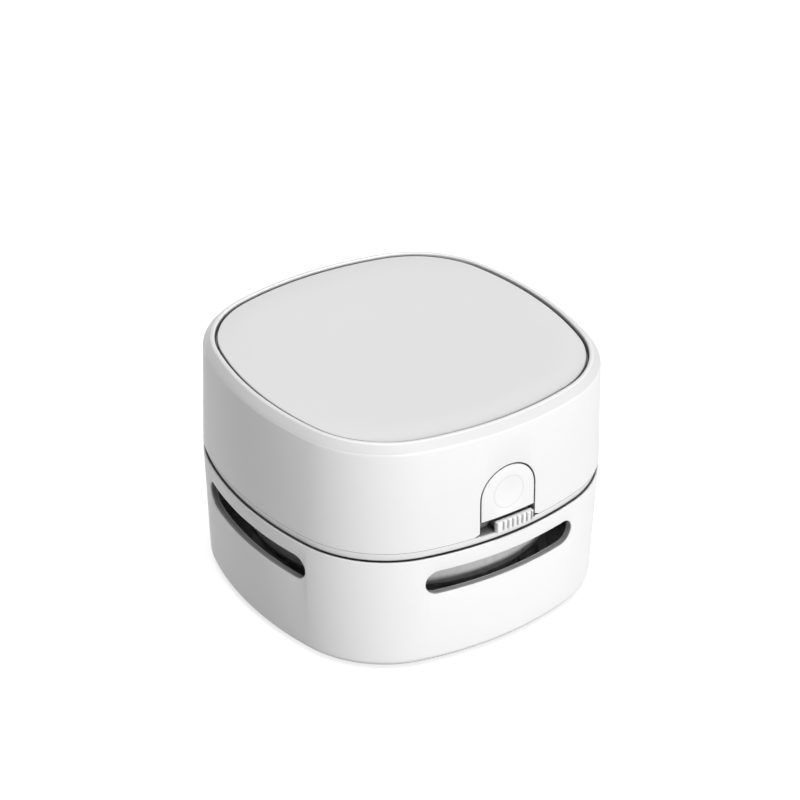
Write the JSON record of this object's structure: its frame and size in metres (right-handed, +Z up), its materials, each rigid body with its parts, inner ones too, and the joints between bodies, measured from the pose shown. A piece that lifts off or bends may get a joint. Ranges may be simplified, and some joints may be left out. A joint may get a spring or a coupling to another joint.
{
  "type": "desktop mini vacuum cleaner",
  "caption": "Small square battery vacuum for desk crumbs: a motor unit with push-button latch and slide switch lifts off a dust unit with a round cup and brushed suction mouth.",
  "frame": {"origin": "on the table plane under the middle of the body", "axes": "+Z up; the push button and switch face -Y; +X to the right when facing the button"},
  "size_m": [0.086, 0.0868, 0.06],
  "materials": {
    "shell_white": "white satin moulded plastic",
    "lid_grey": "pale grey fine-textured moulded plastic",
    "cup_grey": "grey smooth moulded plastic",
    "knob_white": "white moulded plastic",
    "base_white": "white moulded plastic",
    "inner_white": "white moulded plastic",
    "brush_grey": "grey moulded plastic",
    "bristle": "black nylon bristles",
    "rubber_grey": "dark grey rubber",
    "filter_frame": "black moulded plastic",
    "filter_foam": "dark open foam",
    "fan_black": "black moulded plastic",
    "screw_steel": "zinc-plated steel",
    "motor_steel": "plated sheet steel",
    "shaft_steel": "ground steel",
    "end_cap": "ivory moulded plastic",
    "contact_metal": "nickel-plated spring steel",
    "cell_sleeve": "dark shrink sleeve",
    "board": "green circuit board",
    "lever_black": "black moulded plastic",
    "spring_steel": "spring steel wire"
  },
  "bodies": {
    "dust_unit": {"lower_shell": "shell_white", "base_plate": "base_white", "brush_ring": "brush_grey", "bristle_tufts": "bristle", "rubber_feet": "rubber_grey", "base_screws": "screw_steel", "dust_cup": "cup_grey", "inlet_seal": "rubber_grey", "deflector_cap": "cup_grey"},
    "motor_unit": {"chassis": "shell_white", "upper_shell": "shell_white", "chassis_screws": "screw_steel", "cup_seal": "rubber_grey", "filter_frame": "filter_frame", "filter_pad": "filter_foam", "battery_tray": "inner_white", "tray_screws": "screw_steel", "motor_can": "motor_steel", "motor_end_cap": "end_cap", "motor_terminals": "contact_metal", "battery_front": "cell_sleeve", "battery_rear": "cell_sleeve", "contact_bridge": "contact_metal", "terminal_contacts": "contact_metal", "contact_springs": "contact_metal", "switch_housing": "motor_steel", "switch_board": "board", "switch_pins": "contact_metal"},
    "lid": {"top_lid": "lid_grey"},
    "release_button": {"push_button": "shell_white", "latch_slider": "inner_white", "button_spring": "spring_steel"},
    "power_slide": {"slide_knob": "knob_white", "switch_lever": "lever_black"},
    "fan": {"impeller": "fan_black", "motor_shaft": "shaft_steel"}
  },
  "joints": [
    {"name": "motor_unit_lift", "type": "slide", "parent": "dust_unit", "child": "motor_unit", "axis": [0, 0, 1], "range_m": [0, 0.07]},
    {"name": "lid_lift", "type": "slide", "parent": "motor_unit", "child": "lid", "axis": [0, 0, 1], "range_m": [0, 0.03]},
    {"name": "button_press", "type": "slide", "parent": "motor_unit", "child": "release_button", "axis": [0, 1, 0], "range_m": [0, 0.0013], "stiffness_N_per_m": 300, "springref_m": -0.002, "deforming": ["button_spring"]},
    {"name": "power_slide", "type": "slide", "parent": "motor_unit", "child": "power_slide", "axis": [-1, 0, 0], "range_m": [0, 0.003]},
    {"name": "fan_spin", "type": "hinge", "parent": "motor_unit", "child": "fan", "pos_m": [0, 0, 0.0367], "axis": [0, 0, 1], "continuous": true}
  ]
}
